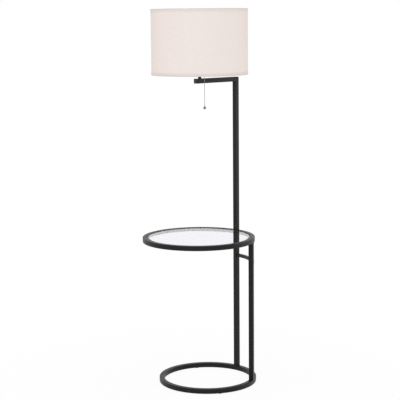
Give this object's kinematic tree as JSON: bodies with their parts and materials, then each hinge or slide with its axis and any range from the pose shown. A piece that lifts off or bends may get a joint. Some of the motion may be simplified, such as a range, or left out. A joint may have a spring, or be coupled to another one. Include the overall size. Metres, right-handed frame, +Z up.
{
  "type": "floor lamp with table",
  "caption": "Floor lamp on a ring base: two square legs carry a round glass table, and one runs on as a post whose boom holds a drum shade with a pull chain.",
  "frame": {"origin": "on the floor, under the middle of the whole lamp's box", "axes": "+Z up; +X from the middle towards the side between the two legs; +Y towards the leg that carries the post"},
  "size_m": [0.4621, 0.457, 1.524],
  "materials": {
    "black_frame": "satin black powder coat on square steel tube",
    "black_lamp_steel": "satin black enamel on turned and bent steel",
    "black_knob": "satin black enamel on a turned steel knob",
    "black_bar": "satin black powder coat on solid steel bar",
    "zinc_steel": "bright zinc-plated steel",
    "nickel": "satin nickel plate",
    "chain_nickel": "bright nickel-plated bead chain",
    "ball_metal": "dark grey nickel-plated ball",
    "brass": "plain brass sheet",
    "black_plastic": "moulded black plastic",
    "phenolic": "brown-black phenolic moulding",
    "fibre": "pressed insulating fibre",
    "rubber_pad": "soft black rubber",
    "clear_bumper": "clear soft plastic dots",
    "table_glass": "clear tempered glass with a polished edge",
    "bulb_glass": "frosted white glass",
    "shade_cloth": "fine-weave cream linen over a stiff backing",
    "shade_backing": "smooth white styrene sheet"
  },
  "bodies": {
    "frame": {"base_ring": "black_bar", "floor_pads": "rubber_pad", "leg_bolts": "zinc_steel", "leg_washers": "zinc_steel", "foot_plugs": "zinc_steel", "rear_leg": "black_frame", "front_leg": "black_frame", "leg_brace": "black_bar", "cord_bushing": "black_plastic", "post_tongue": "zinc_steel", "tongue_screws": "zinc_steel", "post": "black_frame", "boom": "black_frame", "boom_end_cap": "black_plastic", "table_ring": "black_frame", "glass_ledge": "black_frame", "glass_bumpers": "clear_bumper", "threaded_nipple": "zinc_steel", "nipple_nut": "zinc_steel", "lock_washer": "zinc_steel", "neck": "black_lamp_steel", "harp_saddle": "nickel", "socket_cap": "black_lamp_steel", "socket_shell": "black_lamp_steel", "socket_liner": "fibre", "socket_core": "phenolic", "screw_shell": "brass", "centre_contact": "brass", "chain_arm": "black_lamp_steel", "harp": "nickel", "harp_stud": "nickel"},
    "glass": {"table_glass": "table_glass"},
    "shade": {"spider_washer": "nickel", "spider_arms": "nickel", "shade_top_ring": "nickel", "shade_bottom_ring": "nickel", "shade_liner": "shade_backing", "shade_fabric": "shade_cloth", "shade_top_trim": "shade_cloth", "shade_bottom_trim": "shade_cloth"},
    "finial": {"finial": "black_knob"},
    "bulb": {"bulb_base": "zinc_steel", "bulb_glass": "bulb_glass"},
    "ferrule_rear": {"harp_ferrule_rear": "nickel"},
    "ferrule_front": {"harp_ferrule_front": "nickel"},
    "switch_chain": {"switch_chain": "chain_nickel"},
    "short_chain": {"short_chain": "chain_nickel"},
    "drop_chain": {"chain_coupling": "chain_nickel", "drop_chain": "chain_nickel", "pull_ball": "ball_metal"}
  },
  "joints": [
    {"name": "glass_lift", "type": "slide", "parent": "frame", "child": "glass", "axis": [0, 0, 1], "range_m": [0, 0.05]},
    {"name": "shade_turn", "type": "hinge", "parent": "frame", "child": "shade", "pos_m": [0.00915, 0.00669, 1.49], "axis": [0, 0, 1], "continuous": true},
    {"name": "finial_turn", "type": "hinge", "parent": "frame", "child": "finial", "pos_m": [0.00915, 0.00669, 1.49], "axis": [0, 0, 1], "range_deg": [0, 1800]},
    {"name": "bulb_turn", "type": "hinge", "parent": "frame", "child": "bulb", "pos_m": [0.00915, 0.00669, 1.32], "axis": [0, 0, 1], "range_deg": [0, 1260]},
    {"name": "ferrule_rear_slide", "type": "slide", "parent": "frame", "child": "ferrule_rear", "axis": [0, 0, 1], "range_m": [0, 0.017]},
    {"name": "ferrule_front_slide", "type": "slide", "parent": "frame", "child": "ferrule_front", "axis": [0, 0, 1], "range_m": [0, 0.017]},
    {"name": "chain_pull", "type": "slide", "parent": "frame", "child": "switch_chain", "axis": [0, 0, -1], "range_m": [0, 0.006], "stiffness_N_per_m": 400, "springref_m": -0.004},
    {"name": "chain_swing_across", "type": "hinge", "parent": "switch_chain", "child": "short_chain", "pos_m": [0.02253, -0.01676, 1.2828], "axis": [0.8686, 0.4954, 0], "range_deg": [-60, 14]},
    {"name": "chain_swing_along", "type": "hinge", "parent": "short_chain", "child": "drop_chain", "pos_m": [0.02253, -0.01676, 1.2699], "axis": [0.4954, -0.8686, 0], "range_deg": [-60, 60]}
  ]
}
